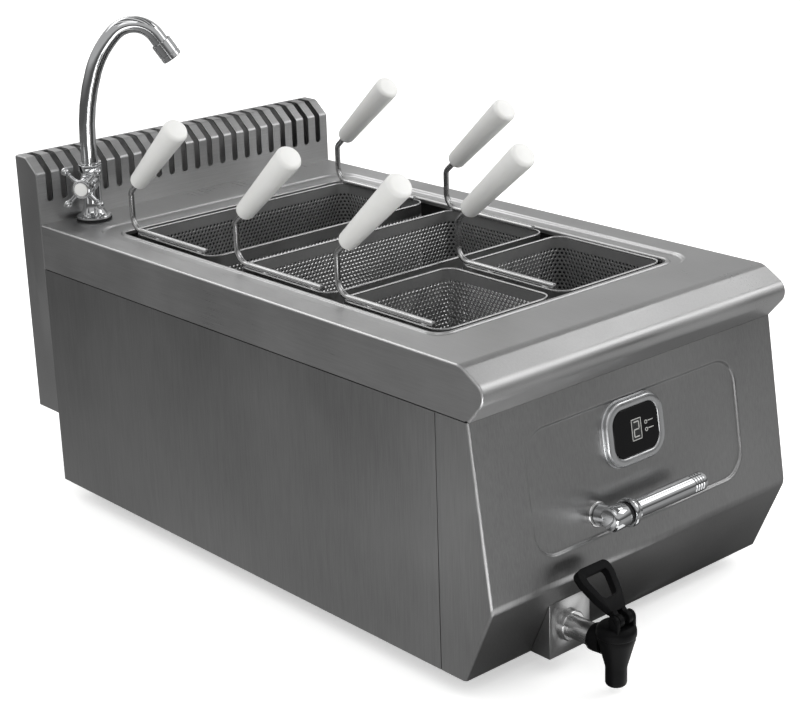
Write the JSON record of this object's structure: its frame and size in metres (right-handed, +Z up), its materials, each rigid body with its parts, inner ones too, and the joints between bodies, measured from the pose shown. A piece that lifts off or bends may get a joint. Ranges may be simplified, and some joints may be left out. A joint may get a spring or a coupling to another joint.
{
  "type": "pasta cooker",
  "caption": "Counter-top stainless pasta cooker with a water well, lift-out baskets with grips, swan-neck faucet, slotted flue, digital control, drain lever and black front tap.",
  "frame": {"origin": "on the floor under the feet, at the middle of the overall width and length", "axes": "+X to the right seen from the front, +Y from the front tap to the flue, +Z up"},
  "size_m": [0.4, 0.788, 0.5282],
  "materials": {
    "casing_steel": "satin brushed",
    "worktop_steel": "satin brushed",
    "well_steel": "satin",
    "bright_steel": "smooth",
    "chrome": "polished",
    "brass": "turned",
    "element_steel": "dull",
    "black_rubber": "matt",
    "seat_rubber": "silicone",
    "black_plastic": "semi-gloss moulded",
    "black_glass": "gloss",
    "white_plastic": "moulded"
  },
  "bodies": {
    "casing": {"base_plate": "casing_steel", "feet": "element_steel", "foot_pads": "black_rubber", "left_side_panel": "casing_steel", "right_side_panel": "casing_steel", "rear_panel": "casing_steel", "control_panel": "casing_steel", "worktop": "worktop_steel", "well_tank": "well_steel", "flue_housing": "casing_steel", "outlet_box": "casing_steel", "false_bottom": "well_steel", "heating_elements": "element_steel", "element_nuts": "brass", "probes": "bright_steel", "drain_spigot": "bright_steel", "valve_body": "brass", "drain_pipe": "bright_steel", "outlet_locknut": "bright_steel", "controller_bezel": "chrome", "controller_glass": "black_glass", "controller_housing": "black_plastic", "lever_bush": "chrome", "terminal_block": "white_plastic", "cable_gland": "black_plastic", "panel_screws": "bright_steel", "faucet_seal": "black_rubber", "faucet_body": "chrome", "faucet_back_nut": "brass", "supply_tail": "bright_steel", "faucet_headwork": "chrome", "spout_nut": "chrome", "tap_body": "black_plastic", "tap_bonnet": "black_plastic", "tap_pin": "bright_steel"},
    "spout": {"faucet_spout": "chrome", "aerator": "chrome"},
    "faucet_handle": {"faucet_handle": "chrome", "handle_cap": "chrome"},
    "drain_lever": {"lever_shaft": "bright_steel", "valve_ball": "bright_steel", "lever_hub": "chrome", "lever_seal_ring": "black_rubber", "lever_bar": "chrome"},
    "tap_lever": {"tap_lever": "black_plastic"},
    "tap_stem": {"tap_stem": "bright_steel", "tap_seat": "seat_rubber"},
    "basket_rear": {"basket_rear": "well_steel", "rods_rear": "bright_steel", "grips_rear": "white_plastic"},
    "basket_middle": {"basket_middle": "well_steel", "rods_middle": "bright_steel", "grips_middle": "white_plastic"},
    "basket_front_left": {"basket_front_left": "well_steel", "rod_front_left": "bright_steel", "grip_front_left": "white_plastic"},
    "basket_front_right": {"basket_front_right": "well_steel", "rod_front_right": "bright_steel", "grip_front_right": "white_plastic"}
  },
  "joints": [
    {"name": "spout_swivel", "type": "hinge", "parent": "casing", "child": "spout", "pos_m": [-0.145, 0.3336, 0.3655], "axis": [0, 0, 1], "range_deg": [-25, 125]},
    {"name": "faucet_turn", "type": "hinge", "parent": "casing", "child": "faucet_handle", "pos_m": [-0.145, 0.3336, 0.3545], "axis": [-0.766, -0.6428, 0], "range_deg": [0, 180]},
    {"name": "drain_turn", "type": "hinge", "parent": "casing", "child": "drain_lever", "pos_m": [-0.062, -0.32381, 0.14445], "axis": [0, 0.9882, -0.153], "range_deg": [0, 90]},
    {"name": "tap_tip", "type": "hinge", "parent": "casing", "child": "tap_lever", "pos_m": [-0.094, -0.3825, 0.074], "axis": [1, 0, 0], "range_deg": [0, 60]},
    {"name": "tap_lift", "type": "slide", "parent": "casing", "child": "tap_stem", "axis": [0, 0, 1], "range_m": [0, 0.006]},
    {"name": "rear_basket_lift", "type": "slide", "parent": "casing", "child": "basket_rear", "axis": [0, 0, 1], "range_m": [0, 0.14]},
    {"name": "middle_basket_lift", "type": "slide", "parent": "casing", "child": "basket_middle", "axis": [0, 0, 1], "range_m": [0, 0.14]},
    {"name": "front_left_basket_lift", "type": "slide", "parent": "casing", "child": "basket_front_left", "axis": [0, 0, 1], "range_m": [0, 0.14]},
    {"name": "front_right_basket_lift", "type": "slide", "parent": "casing", "child": "basket_front_right", "axis": [0, 0, 1], "range_m": [0, 0.14]}
  ],
  "couplings": [
    {"joint": "tap_lift", "follows": "tap_tip", "m_per_rad": 0.0054}
  ]
}
